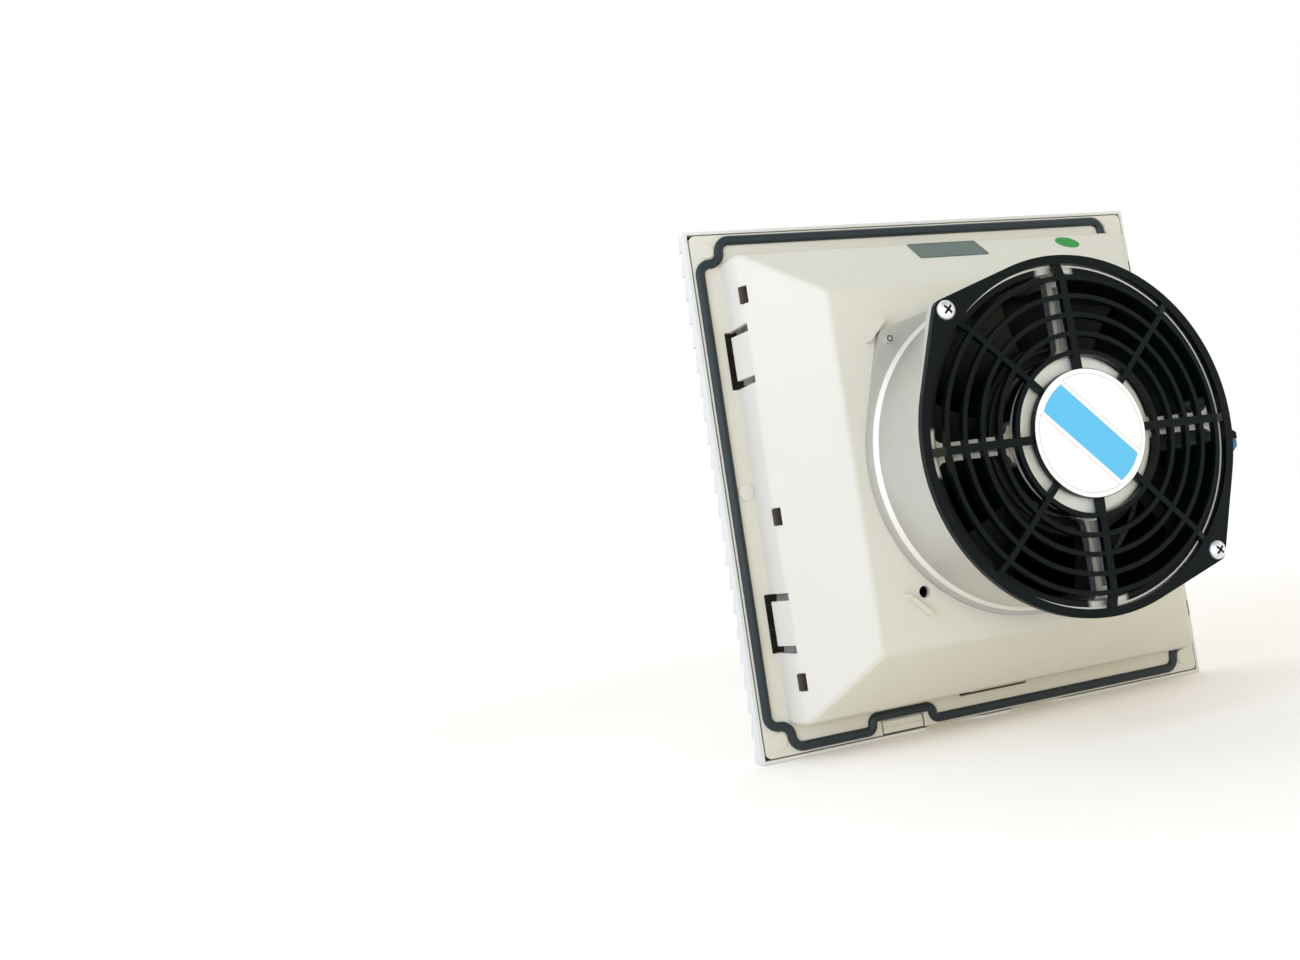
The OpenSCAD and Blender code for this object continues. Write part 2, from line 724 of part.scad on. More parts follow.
module guard_screws() color(bare_metal)
    for (a = fan_ears) rotate([0, -a, 0]) translate([fan_r, guard_y1, 0])
        rotate([180, 0, 0]) pan_screw(guard_screw_l);

module finger_guard() color(black) {
    along_y(guard_y0, guard_y1) difference() {
        union() {
            circle(guard_r);
            for (a = fan_ears) rotate(a) ear_shape(guard_r, ear_r, fan_r);
        }
        circle(guard_in);
        for (a = fan_ears) rotate(a) translate([fan_r, 0]) circle(screw_r + 0.3);
    }
    post_y(guard_disc_r, guard_disc_y1 - guard_t, guard_disc_y1);
    for (i = [0:guard_rings - 1]) around_y() {
        r = guard_ring_in + (guard_ring_out - guard_ring_in) * i / (guard_rings - 1);
        translate([r - guard_ring_w / 2, guard_top(r) - guard_ring_h]) square([guard_ring_w, guard_ring_h]);
    }
    for (a = [0:45:315]) rotate([0, a, 0]) guard_rib(a % 90 == 0 ? guard_rib_w : guard_diagonal_w);
}

// Top of the domed grille at a radius between the disc and the outer ring
function guard_top(r) =
    guard_y1 + guard_rise + guard_dome * (guard_ring_out - r) / (guard_ring_out - guard_ring_in);

// A rib from the middle disc to the rim, which bends down from the outer ring to the rim
module guard_rib(width) {
    inner = guard_disc_r - merge;
    outer = guard_in + merge;
    bend = guard_ring_out;
    deep = guard_ring_h - merge;
    translate([0, 0, -width / 2]) linear_extrude(width) polygon([[inner, guard_top(inner)],
        [bend, guard_top(bend)], [outer, guard_y1 - merge], [outer, guard_y0 + merge],
        [bend, guard_top(bend) - deep], [inner, guard_top(inner) - deep]]);
}

module stator_core() color([0.45, 0.46, 0.48])
    along_y(stator_y0, stator_y1) difference() {
        circle(stator_r);
        circle(tube_r + press_gap);
        for (i = [0:stator_slots - 1]) rotate(i * 360 / stator_slots) {
            translate([end_turn_in, -slot_w / 2]) square([end_turn_out - end_turn_in, slot_w]);
            translate([end_turn_in + merge, -slot_mouth / 2]) square([stator_r, slot_mouth]);
        }
    }

// End turns on both faces of the core, joined by the coil sides in its slots
module stator_windings() color(copper) {
    for (y = [stator_y0 - end_turn_l - part_gap, stator_y1 + part_gap])
        around_y() translate([end_turn_in, y]) {
            translate([1, 0]) square([end_turn_out - end_turn_in - 2, end_turn_l]);
            translate([0, 1]) square([end_turn_out - end_turn_in, end_turn_l - 2]);
            for (r = [1, end_turn_out - end_turn_in - 1], h = [1, end_turn_l - 1])
                translate([r, h]) circle(1);
        }
    along_y(stator_y0 - part_gap - 1, stator_y1 + part_gap + 1) for (i = [0:stator_slots - 1])
        rotate(i * 360 / stator_slots) {
            side_w = slot_w - 2 * part_gap;
            translate([end_turn_in + 1, -side_w / 2]) square([end_turn_out - end_turn_in - 2, side_w]);
        }
}

// Ball bearing with recessed shields between its two rings
module ball_bearing(y) {
    shield_in = shaft_r + 2.2;
    shield_out = bearing_r - 2;
    shield_set = 0.5;
    around_y() difference() {
        translate([shaft_r + run_gap, y]) square([bearing_r - press_gap - shaft_r - run_gap, bearing_w]);
        for (h = [y - over, y + bearing_w - shield_set])
            translate([shield_in, h]) square([shield_out - shield_in, shield_set + over]);
    }
}

module rear_bearing() color("silver") ball_bearing(rear_bearing_y);

module front_bearing() color("silver") ball_bearing(front_bearing_y);

module shaft() color("silver") difference() {
    post_y(shaft_r, cup_y0, shaft_y1);
    around_y() translate([shaft_r - retainer_t, retainer_y]) square([over, retainer_t]);
}

module shaft_retainer() color("dimgray")
    along_y(retainer_y + press_gap, retainer_y + retainer_t - press_gap) difference() {
        circle(shaft_r + 2.4);
        circle(shaft_r - retainer_t + press_gap);
        translate([0, -shaft_r * 0.6]) square([2 * shaft_r, shaft_r * 1.2]);
    }

module rotor_cup() color([0.6, 0.6, 0.6])
    around_y() polygon([[shaft_r + press_gap, cup_y0], [cup_r - cup_wall, cup_y0], [cup_r, cup_y0 + cup_wall],
        [cup_r, cup_y1], [cup_in, cup_y1], [cup_in, cup_y0 + cup_wall], [boss_r, cup_y0 + cup_wall],
        [boss_r, boss_y1], [shaft_r + press_gap, boss_y1]]);

module rotor_ring() color([0.45, 0.46, 0.48])
    around_y() translate([rotor_in, stator_y0]) square([rotor_ring_t, stator_l]);

// One point of a blade: u runs along the chord, side is the upper or lower face, r is the radius
function vane_point(r, u, side) =
    let (blend = (r - hub_r) / (vane_tip_r - hub_r),
        slant = vane_root_angle + (vane_tip_angle - vane_root_angle) * blend,
        half = (vane_y1 - vane_y0) / 2,
        bow = vane_camber * 4 * u * (1 - u) + side * vane_t / 2 * (0.25 + 0.75 * sqrt(4 * u * (1 - u))),
        run = (2 * u - 1) * half / tan(slant) - bow * sin(slant),
        y = (vane_y0 + vane_y1) / 2 + (2 * u - 1) * half * 0.94 + bow * cos(slant) * 0.5,
        a = run / r * 180 / PI)
    [r * cos(a), y, r * sin(a)];

function vane_section(r) = concat(
    [for (i = [0:vane_points - 1]) vane_point(r, i / (vane_points - 1), 1)],
    [for (i = [vane_points - 1:-1:0]) vane_point(r, i / (vane_points - 1), -1)]);

// A twisted blade: sections on cylinders from its seat on the hub out to the tip
module vane() {
    ring = 2 * vane_points;
    root = hub_r + vane_seat;
    sections = [for (i = [0:vane_stations - 1])
        vane_section(root + (vane_tip_r - root) * i / (vane_stations - 1))];
    last = (vane_stations - 1) * ring;
    polyhedron(points = [for (s = sections) each s], faces = concat(
        [[for (i = [0:ring - 1]) i], [for (i = [ring - 1:-1:0]) last + i]],
        [for (s = [0:vane_stations - 2], i = [0:ring - 1]) let (n = (i + 1) % ring)
            each [[s * ring + n, s * ring + i, (s + 1) * ring + n],
                [(s + 1) * ring + n, s * ring + i, (s + 1) * ring + i]]]));
}

module impeller() color(black)
    around_y() polygon([[0, hub_y0], [hub_r - hub_wall, hub_y0], [hub_r, hub_y0 + hub_wall], [hub_r, hub_y1],
        [hub_in, hub_y1], [hub_in, cup_y0 - press_gap], [0, cup_y0 - press_gap]]);

module impeller_vanes() color(black)
    for (i = [0:vane_count - 1]) rotate([0, i * 360 / vane_count, 0]) vane();

// Room of both connectors in the terminal block, less a gap; z0 and z1 are the lower and upper ends
module plug_space(gap, z0, z1) {
    for (i = [0, 1]) {
        x = terminal_x0 + plug_wall + i * (plug_w + plug_wall);
        block([x + gap, x + plug_w - gap], [terminal_y1 - terminal_depth + 2 * plug_wall + gap,
            terminal_y1 - plug_wall - gap], [z0, z1]);
    }
}

// Moulded terminal block on the barrel's side, under the outlet flange, open downwards
module terminal_block() color(black) difference() {
    along_y(terminal_y1 - terminal_depth, terminal_y1) polygon([[-barrel_r + terminal_seat, terminal_z0],
        [terminal_x0, terminal_z0], [terminal_x0, terminal_z1 - terminal_slant],
        [terminal_x0 + 1.5 * terminal_slant, terminal_z1], [-barrel_r + terminal_seat, terminal_z1]]);
    post_y(barrel_r + press_gap, plate_y, fan_y1);
    plug_space(0, terminal_z0 - over, terminal_z0 + plug_deep);
}

// Two push-on connectors in the terminal block
module terminal_plugs() color([0.2, 0.5, 0.8])
    plug_space(part_gap, terminal_z0 - plug_out, terminal_z0 + plug_deep - part_gap);

housing();
seal();
louvre_cover();
cover_catch();
filter_mat();
filter_grid();
panel_clip(0);  // clip_right_upper
panel_clip(1);  // clip_right_lower
panel_clip(2);  // clip_left_upper
panel_clip(3);  // clip_left_lower
panel_clip(4);  // clip_top
panel_clip(5);  // clip_bottom
fan_frame();
fan_screws();
finger_guard();
guard_screws();
stator_core();
stator_windings();
rear_bearing();
front_bearing();
shaft();
shaft_retainer();
rotor_cup();
rotor_ring();
impeller();
impeller_vanes();
terminal_block();
terminal_plugs();
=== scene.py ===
import bpy
import bmesh
from math import cos, pi, radians, sin, sqrt
from mathutils import Matrix, Vector


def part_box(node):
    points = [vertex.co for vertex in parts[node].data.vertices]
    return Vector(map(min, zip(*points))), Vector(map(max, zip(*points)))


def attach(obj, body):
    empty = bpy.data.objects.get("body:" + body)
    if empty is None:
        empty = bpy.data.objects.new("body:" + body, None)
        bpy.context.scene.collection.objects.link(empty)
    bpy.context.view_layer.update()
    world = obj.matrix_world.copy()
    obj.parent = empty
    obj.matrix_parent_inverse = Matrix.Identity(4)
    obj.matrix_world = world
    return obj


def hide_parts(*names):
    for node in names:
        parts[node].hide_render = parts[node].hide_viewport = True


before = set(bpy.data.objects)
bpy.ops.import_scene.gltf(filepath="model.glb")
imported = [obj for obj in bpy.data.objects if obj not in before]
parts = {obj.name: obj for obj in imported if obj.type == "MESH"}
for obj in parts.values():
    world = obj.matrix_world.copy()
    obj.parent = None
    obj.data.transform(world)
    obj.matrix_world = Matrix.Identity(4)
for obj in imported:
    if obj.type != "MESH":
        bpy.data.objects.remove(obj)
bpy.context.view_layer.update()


# Housing: flange, sloping hood and fan plate in one injection moulding of pebble-beige plastic.
# The tool leaves a fine satin grain, and the gloss wanders a little from place to place.
class Tone:
    """A number or a vector on its way through one finish's nodes."""

    def __init__(self, finish, socket):
        self.finish, self.socket = finish, socket

    def _math(self, operation, first, second):
        return self.finish.node("Math", {"operation": operation}, {0: first, 1: second})

    def __add__(self, other):
        return self._math("ADD", self, other)

    def __sub__(self, other):
        return self._math("SUBTRACT", self, other)

    def __rsub__(self, other):
        return self._math("SUBTRACT", other, self)

    def __mul__(self, other):
        return self._math("MULTIPLY", self, other)

    def __pow__(self, other):
        return self._math("POWER", self, other)

    def __gt__(self, other):
        return self._math("GREATER_THAN", self, other)

    def __lt__(self, other):
        return self._math("LESS_THAN", self, other)

    def __abs__(self):
        return self._math("ABSOLUTE", self, 0.0)

    def within(self, low, high):
        """1 between two values, 0 outside them."""
        return (self > low) * (self < high)

    __radd__, __rmul__ = __add__, __mul__


class Finish:
    """One material. Constants go on the shader's own sockets, what varies comes through Tones."""

    def __init__(self, name, **constants):
        self.material = bpy.data.materials.new(name)
        self.material.use_nodes = True
        self.tree = self.material.node_tree
        self.shader = self.tree.nodes["Principled BSDF"]
        for socket, value in constants.items():
            self.shader.inputs[socket.replace("_", " ")].default_value = value
        self.place = self.node("TexCoord", out="Object")

    def node(self, kind, settings=None, sockets=None, out=0):
        made = self.tree.nodes.new("ShaderNode" + kind)
        for key, value in (settings or {}).items():
            setattr(made, key, value)
        for key, value in (sockets or {}).items():
            self.feed(made.inputs[key], value)
        return Tone(self, made.outputs[out])

    def feed(self, socket, value):
        if isinstance(value, Tone):
            self.tree.links.new(value.socket, socket)
        else:
            socket.default_value = value

    def set(self, socket, value):
        self.feed(self.shader.inputs[socket], value)

    def noise(self, scale, detail=2.0, roughness=0.5, place=None):
        return self.node("TexNoise", {"noise_dimensions": "3D"}, {
            "Vector": place or self.place, "Scale": scale, "Detail": detail, "Roughness": roughness})

    def blend(self, factor, low, high):
        return self.node("Mix", {"data_type": "RGBA"}, {0: factor, 6: low, 7: high}, out=2)

    def rise(self, value, start, end):
        """A smooth step, 0 at the start value and 1 at the end value."""
        return self.node("MapRange", {"interpolation_type": "SMOOTHSTEP"}, {
            "Value": value, "From Min": start, "From Max": end})

    def axis(self, name):
        return self.node("SeparateXYZ", None, {0: self.place}, out=name)

    def facing(self, name):
        return self.node("SeparateXYZ", None, {0: self.node("TexCoord", out="Normal")}, out=name)

    def most(self, first, *others):
        for other in others:
            first = self.node("Math", {"operation": "MAXIMUM"}, {0: first, 1: other})
        return first

    def least(self, first, second):
        return self.node("Math", {"operation": "MINIMUM"}, {0: first, 1: second})

    def relief(self, height, strength, distance):
        self.set("Normal", self.node("Bump", None, {
            "Height": height, "Strength": strength, "Distance": distance}))


def srgb(red, green, blue):
    """A colour read from a picture, 0 to 255, as the linear values a shader takes."""
    def linear(c):
        c /= 255
        return c / 12.92 if c <= 0.04045 else ((c + 0.055) / 1.055) ** 2.4
    return (linear(red), linear(green), linear(blue), 1.0)


def moulded_plastic(name, body, shade, gloss=0.46, grain=0.12, ior=1.46):
    """Satin moulding: faint clouding, a fine spark-eroded grain and a little uneven gloss."""
    finish = Finish(name, IOR=ior)
    cloud = finish.noise(14.0, 3.0)
    pebble = finish.noise(2600.0, 2.0, 0.55)
    finish.set("Base Color", finish.blend(cloud * 0.55 + pebble * 0.25, body, shade))
    finish.set("Roughness", gloss + 0.10 * finish.noise(60.0) + 0.08 * pebble)
    finish.relief(pebble, grain, 0.00012)
    return finish.material


def dress(node, material, edge=0.0, segments=2, weld_gap=0.000002, flat_within=0.4, sharp_from=30.0):
    """Gives a carried-over solid its finish, welded smooth walls and, where edge is set, rounded edges."""
    piece = parts[node]
    mesh = piece.data
    if "custom_normal" in mesh.attributes:
        mesh.attributes.remove(mesh.attributes["custom_normal"])
    mesh.polygons.foreach_set("use_smooth", [True] * len(mesh.polygons))
    mesh.materials.clear()
    mesh.materials.append(material)
    weld = piece.modifiers.new("Weld", "WELD")
    weld.merge_threshold = weld_gap
    flat = piece.modifiers.new("Flat faces", "DECIMATE")
    flat.decimate_type = "DISSOLVE"
    flat.angle_limit = radians(flat_within)
    if edge:
        rounding = piece.modifiers.new("Edges", "BEVEL")
        rounding.limit_method = "ANGLE"
        rounding.angle_limit = radians(sharp_from)
        rounding.width = edge
        rounding.segments = segments
        rounding.harden_normals = True
        rounding.miter_outer = "MITER_ARC"
    shading = piece.modifiers.new("Normals", "WEIGHTED_NORMAL")
    shading.mode = "FACE_AREA"
    shading.weight = 60
    shading.keep_sharp = False


beige = moulded_plastic("pebble_beige", srgb(213, 209, 195), srgb(202, 198, 183))
dress("housing", beige, edge=0.00035)


# Foam seal: a dark closed-skin strip with a low crown, glued to the back of the flange.
# It bends in round each corner boss and steps over the cover catch.
def arc(centre, radius, start, end, steps=10):
    """Points along an arc from one angle to another, in degrees, with both ends."""
    angles = [radians(start + (end - start) * i / steps) for i in range(steps + 1)]
    return [(centre[0] + radius * cos(angle), centre[1] + radius * sin(angle)) for angle in angles]


def quarter_turns(points, turns):
    """The same points, turned about the fan's axis."""
    for _ in range(turns % 4):
        points = [(z, -x) for x, z in points]
    return points


seal_half, seal_bend, seal_width, seal_height = 0.1222, 0.0055, 0.0046, 0.0022
catch_middle, step_half, step_bend = 0.0526, 0.0134, 0.0031
same_point = 0.00005
corner = (arc((seal_half - 3 * seal_bend, seal_half - seal_bend), seal_bend, 90, 0)
          + arc((seal_half - seal_bend, seal_half - seal_bend), seal_bend, 180, 270)
          + arc((seal_half - seal_bend, seal_half - 3 * seal_bend), seal_bend, 90, 0))
step = (arc((catch_middle + step_half + 2 * step_bend, step_bend - seal_half), step_bend, 270, 180)
        + arc((catch_middle + step_half, step_bend - seal_half), step_bend, 0, 90)
        + arc((catch_middle - step_half, step_bend - seal_half), step_bend, 90, 180)
        + arc((catch_middle - step_half - 2 * step_bend, step_bend - seal_half), step_bend, 0, -90))
route = corner + quarter_turns(corner, 1) + step + quarter_turns(corner, 2) + quarter_turns(corner, 3)
route = [p for i, p in enumerate(route) if (Vector(p) - Vector(route[i - 1])).length > same_point]


def loop_mesh(name, points):
    """A closed run of edges through the points."""
    mesh = bpy.data.meshes.new(name)
    count = len(points)
    mesh.from_pydata(points, [(i, (i + 1) % count) for i in range(count)], [])
    return mesh


def stand(name, data):
    """Puts a mesh, a lamp or a camera into the scene as an object."""
    thing = bpy.data.objects.new(name, data)
    bpy.context.scene.collection.objects.link(thing)
    return thing


def settle(source, tree, name, body, **sizes):
    """Runs a node tree on an object and keeps the result as a plain mesh that rides on a body."""
    modifier = source.modifiers.new("Make", "NODES")
    modifier.node_group = tree
    named = {item.name: item.identifier for item in tree.interface.items_tree if item.in_out == "INPUT"}
    for key, value in sizes.items():
        modifier[named[key]] = value
    bpy.context.view_layer.update()
    made = bpy.data.meshes.new_from_object(source.evaluated_get(bpy.context.evaluated_depsgraph_get()))
    bpy.data.objects.remove(source)
    made.name = name
    piece = stand(name, made)
    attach(piece, body)
    return piece


class Recipe:
    """A Geometry Nodes tree under construction, with one geometry input and named size inputs."""

    def __init__(self, name, **inputs):
        self.tree = bpy.data.node_groups.new(name, "GeometryNodeTree")
        face = self.tree.interface
        face.new_socket("Geometry", in_out="INPUT", socket_type="NodeSocketGeometry")
        for key, kind in inputs.items():
            face.new_socket(key, in_out="INPUT", socket_type="NodeSocket" + kind)
        face.new_socket("Geometry", in_out="OUTPUT", socket_type="NodeSocketGeometry")
        self.start = self.tree.nodes.new("NodeGroupInput")
        self.end = self.tree.nodes.new("NodeGroupOutput")

    def __getitem__(self, name):
        return self.start.outputs[name]

    def node(self, kind, settings=None, sockets=None):
        made = self.tree.nodes.new(kind)
        for key, value in (settings or {}).items():
            setattr(made, key, value)
        for key, value in (sockets or {}).items():
            if isinstance(value, bpy.types.NodeSocket):
                self.tree.links.new(value, made.inputs[key])
            else:
                made.inputs[key].default_value = value
        return made

    def maths(self, operation, first, second=0.0):
        return self.node("ShaderNodeMath", {"operation": operation}, {0: first, 1: second}).outputs[0]

    def finish(self, geometry, material):
        real = self.node("GeometryNodeRealizeInstances", None, {0: geometry})
        clad = self.node("GeometryNodeSetMaterial", None, {0: real.outputs[0], "Material": material})
        self.tree.links.new(clad.outputs[0], self.end.inputs[0])
        return self.tree


foam_skin = Finish("seal_foam", Sheen_Weight=0.2, Sheen_Roughness=0.4, IOR=1.4)
pores = foam_skin.noise(3200.0, 3.0, 0.6)
foam_skin.set("Base Color", foam_skin.blend(pores * 0.7 + foam_skin.noise(40.0) * 0.3,
                                            srgb(20, 29, 32), srgb(38, 49, 53)))
foam_skin.set("Roughness", 0.30 + 0.14 * pores)
foam_skin.relief(pores, 0.2, 0.0001)

# The section starts as a circle of diameter 1. Its lower half is pressed flat, and its sides a little.
side_press = 1.12
strip = Recipe("seal_strip", Width="Float", Height="Float")
path = strip.node("GeometryNodeMeshToCurve", None, {0: strip["Geometry"]})
crown = strip.node("GeometryNodeCurvePrimitiveCircle", {"mode": "RADIUS"}, {"Resolution": 20, "Radius": 0.5})
spot = strip.node("GeometryNodeInputPosition")
axes = strip.node("ShaderNodeSeparateXYZ", None, {0: spot.outputs[0]})
above = strip.maths("MAXIMUM", axes.outputs["X"], 0.0)
tall = strip.maths("MULTIPLY", strip.maths("MULTIPLY", above, strip["Height"]), -2.0)
pressed = strip.maths("MULTIPLY", axes.outputs["Y"], side_press)
bound = strip.node("ShaderNodeClamp", None, {"Value": pressed, "Min": -0.5, "Max": 0.5})
wide = strip.maths("MULTIPLY", bound.outputs[0], strip["Width"])
shaped = strip.node("ShaderNodeCombineXYZ", None, {"X": tall, "Y": wide})
section = strip.node("GeometryNodeSetPosition", None, {0: crown.outputs[0], "Position": shaped.outputs[0]})
swept = strip.node("GeometryNodeCurveToMesh", None, {0: path.outputs[0], 1: section.outputs[0]})
outside = strip.node("GeometryNodeFlipFaces", None, {0: swept.outputs[0]})
strip_tree = strip.finish(outside.outputs[0], foam_skin.material)

seal_path = stand("seal_path", loop_mesh("seal_path", [(x, 0.0, z) for x, z in route]))
seal = settle(seal_path, strip_tree, "foam_seal", "housing", Width=seal_width, Height=seal_height)
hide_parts("seal")


# Panel clips and cover catch: sprung tongues, moulded in one with the housing in the same beige plastic.
# The clips grip the cabinet wall from behind, and the catch holds the cover's lower edge.
for name in ("clip_right_upper", "clip_right_lower", "clip_left_upper", "clip_left_lower",
             "clip_top", "clip_bottom", "cover_catch"):
    dress(name, beige, edge=0.0003)


# Support grid: an open moulded frame that holds the mat, with a matt skin. Its dark brown is painted shade:
# seen through the hood's windows, it stands in for the dark inside. Three snap noses on each side hook it
# into the windows of the hood's walls and wear the same painted-shade brown.
grid_shade_brown = moulded_plastic("grid_shade_brown", srgb(58, 48, 37), srgb(46, 38, 29), gloss=0.55, grain=0.10)
dress("filter_grid", grid_shade_brown, edge=0.0002)


def loft(shape, rings):
    """Walls between rings of points, with a face over the first and the last ring."""
    for low, high in zip(rings, rings[1:]):
        for i in range(len(low)):
            k = (i + 1) % len(low)
            shape.faces.new((low[i], low[k], high[k], high[i]))
    shape.faces.new(rings[-1])
    shape.faces.new(list(reversed(rings[0])))
    bmesh.ops.recalc_face_normals(shape, faces=shape.faces)


def soften(shape, edge, clamp=False):
    """Rounds every edge of a small moulding."""
    bmesh.ops.bevel(shape, geom=shape.edges, offset=edge, segments=2, affect="EDGES", profile=0.5,
                    clamp_overlap=clamp)


def made_from(shape, name, material=None):
    """Turns a finished bmesh into an object of the scene."""
    mesh = bpy.data.meshes.new(name)
    shape.to_mesh(mesh)
    shape.free()
    if material:
        mesh.materials.append(material)
    return stand(name, mesh)


nose_half, nose_foot, nose_top = 0.0039, 0.01745, 0.0194
nose_root, nose_tip, nose_taper, nose_edge = 0.1079, 0.1111, 0.0008, 0.0002
profile = ((nose_root, nose_foot), (nose_tip, nose_foot), (nose_tip, nose_top - nose_taper),
           (nose_tip - nose_taper, nose_top), (nose_root, nose_top))
wedge = bmesh.new()
loft(wedge, [[wedge.verts.new((x, y, z)) for x, y in profile] for z in (-nose_half, nose_half)])
soften(wedge, nose_edge)
nose_pattern = made_from(wedge, "grid_nose")

window_heights = {"Upper": 0.0905, "Middle": -0.014, "Lower": -0.0905}
snap = Recipe("grid_noses", Upper="Float", Middle="Float", Lower="Float")
placed = snap.node("GeometryNodeJoinGeometry")
for window in window_heights:
    lift = snap.node("ShaderNodeCombineXYZ", None, {"Z": snap[window]})
    right_nose = snap.node("GeometryNodeTransform", None, {
        0: snap["Geometry"], "Translation": lift.outputs[0]})
    mirrored = snap.node("GeometryNodeTransform", None, {
        0: right_nose.outputs[0], "Scale": (-1.0, 1.0, 1.0)})
    left_nose = snap.node("GeometryNodeFlipFaces", None, {0: mirrored.outputs[0]})
    for nose in (right_nose, left_nose):
        snap.tree.links.new(nose.outputs[0], placed.inputs[0])
# The noses wear the grid's brown, which is painted shade in the windows.
snap_tree = snap.finish(placed.outputs[0], grid_shade_brown)
noses = settle(nose_pattern, snap_tree, "grid_noses", "housing", **window_heights)


# Filter mat: a loose pad of white polyester fibre, cut square and laid in behind the cover.
# Its faces are uneven and covered in stray fibres, and its cut sides stay clear of the clips.
fibre = Finish("filter_fibre", Sheen_Weight=0.4, Sheen_Roughness=0.6)
tuft = fibre.noise(240.0, 6.0, 0.65)
clump = fibre.noise(70.0, 3.0)
fibre.set("Base Color", fibre.blend(tuft * 0.6 + clump * 0.4, srgb(222, 222, 219), srgb(250, 250, 249)))
fibre.set("Roughness", 0.82 + 0.12 * tuft)
fibre.relief(tuft, 0.7, 0.0012)

mat_half, mat_front, mat_back = 0.1046, -0.001, 0.0149
swell_room, side_room, cells = 0.0012, 0.0008, 56
slab_half = mat_half - side_room
slab = bmesh.new()
for level in (mat_front + swell_room, mat_back - swell_room):
    for i in range(cells + 1):
        for k in range(cells + 1):
            slab.verts.new(((2 * i / cells - 1) * slab_half, level, (2 * k / cells - 1) * slab_half))
slab.verts.ensure_lookup_table()
row = cells + 1
back_start = row * row
for i in range(cells):
    for k in range(cells):
        a, b, c, d = i * row + k, (i + 1) * row + k, (i + 1) * row + k + 1, i * row + k + 1
        slab.faces.new([slab.verts[n] for n in (a, b, c, d)])
        slab.faces.new([slab.verts[back_start + n] for n in (d, c, b, a)])
for n in range(cells):
    for a, b in ((n, n + 1), ((n + 1) * row - 1, (n + 2) * row - 1),
                 (cells * row + n + 1, cells * row + n), ((n + 1) * row, n * row)):
        slab.faces.new([slab.verts[m] for m in (b, a, back_start + a, back_start + b)])
bmesh.ops.recalc_face_normals(slab, faces=slab.faces)
mat_block = made_from(slab, "mat_block")

fibre_r = 0.00007
fleece = Recipe("fibre_pad", Swell="Float", Strands="Float", Length="Float")
lump = fleece.node("ShaderNodeTexNoise", {"noise_dimensions": "3D"}, {"Scale": 110.0, "Detail": 3.0})
amount = fleece.maths("MULTIPLY", fleece.maths("SUBTRACT", lump.outputs[0], 0.5), fleece["Swell"])
outward = fleece.node("GeometryNodeInputNormal")
push = fleece.node("ShaderNodeVectorMath", {"operation": "SCALE"}, {0: outward.outputs[0], "Scale": amount})
uneven = fleece.node("GeometryNodeSetPosition", None, {0: fleece["Geometry"], "Offset": push.outputs[0]})
leaning = fleece.node("ShaderNodeSeparateXYZ", None, {0: outward.outputs[0]})
open_face = fleece.maths("GREATER_THAN", fleece.maths("ABSOLUTE", leaning.outputs["Y"]), 0.5)
roots = fleece.node("GeometryNodeDistributePointsOnFaces", {"distribute_method": "RANDOM"}, {
    0: uneven.outputs[0], "Selection": open_face, "Density": fleece["Strands"], "Seed": 4})
strand_end = fleece.node("ShaderNodeCombineXYZ", None, {"X": fleece["Length"]})
strand = fleece.node("GeometryNodeCurveQuadraticBezier", None, {
    "Resolution": 4, "Start": (0.0, 0.0, -0.0003), "Middle": (0.002, 0.0016, 0.0009),
    "End": strand_end.outputs[0]})
hair = fleece.node("GeometryNodeCurvePrimitiveCircle", {"mode": "RADIUS"}, {
    "Resolution": 3, "Radius": fibre_r})
thread = fleece.node("GeometryNodeCurveToMesh", None, {0: strand.outputs[0], 1: hair.outputs[0]})
spin = fleece.node("FunctionNodeRandomValue", {"data_type": "FLOAT_VECTOR"}, {
    "Min": (0.0, 0.0, 0.0), "Max": (0.25, 0.25, 6.283), "Seed": 9})
turn = fleece.node("FunctionNodeEulerToRotation", None, {0: spin.outputs[0]})
lay = fleece.node("FunctionNodeRotateRotation", {"rotation_space": "LOCAL"}, {
    0: roots.outputs["Rotation"], 1: turn.outputs[0]})
size = fleece.node("FunctionNodeRandomValue", {"data_type": "FLOAT"}, {2: 0.5, 3: 1.2, "Seed": 2})
sown = fleece.node("GeometryNodeInstanceOnPoints", None, {
    0: roots.outputs[0], "Instance": thread.outputs[0], "Rotation": lay.outputs[0],
    "Scale": size.outputs[1]})
soft = fleece.node("GeometryNodeSetShadeSmooth", None, {0: uneven.outputs[0]})
both = fleece.node("GeometryNodeJoinGeometry")
fleece.tree.links.new(soft.outputs[0], both.inputs[0])
fleece.tree.links.new(sown.outputs[0], both.inputs[0])
fleece_tree = fleece.finish(both.outputs[0], fibre.material)
mat = settle(mat_block, fleece_tree, "fibre_mat", "housing", Swell=0.0016, Strands=38000.0, Length=0.006)
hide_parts("filter_mat")


# Louvre cover: the pale front with its stepped blades, one moulding snapped over the flange.
# The plastic is the housing's, a shade lighter. Inside, the band that meets the flange is coloured dark
# as painted shade, where the closed gap behind the clip slots lies in shadow.
cover_plastic = Finish("cover_pale_beige", IOR=1.46)
cover_cloud = cover_plastic.noise(14.0, 3.0)
cover_pebble = cover_plastic.noise(2600.0, 2.0, 0.55)
shade_band_from, shade_band_to = 0.1054, 0.126
farthest = cover_plastic.most(abs(cover_plastic.axis("X")), abs(cover_plastic.axis("Z")))
# Painted shade: the inner band that faces the flange is coloured dark.
painted_shade_band = farthest.within(shade_band_from, shade_band_to) * (cover_plastic.facing("Y") > 0.5)
cover_tone = cover_plastic.blend(cover_cloud * 0.55 + cover_pebble * 0.25,
                                 srgb(215, 215, 208), srgb(206, 206, 198))
cover_plastic.set("Base Color", cover_plastic.blend(painted_shade_band, cover_tone, srgb(44, 38, 31)))
cover_plastic.set("Roughness", 0.42 + 0.10 * cover_plastic.noise(60.0) + 0.08 * cover_pebble + 0.3 * painted_shade_band)
cover_plastic.relief(cover_pebble, 0.12, 0.00012)
dress("louvre_cover", cover_plastic.material, edge=0.0002)
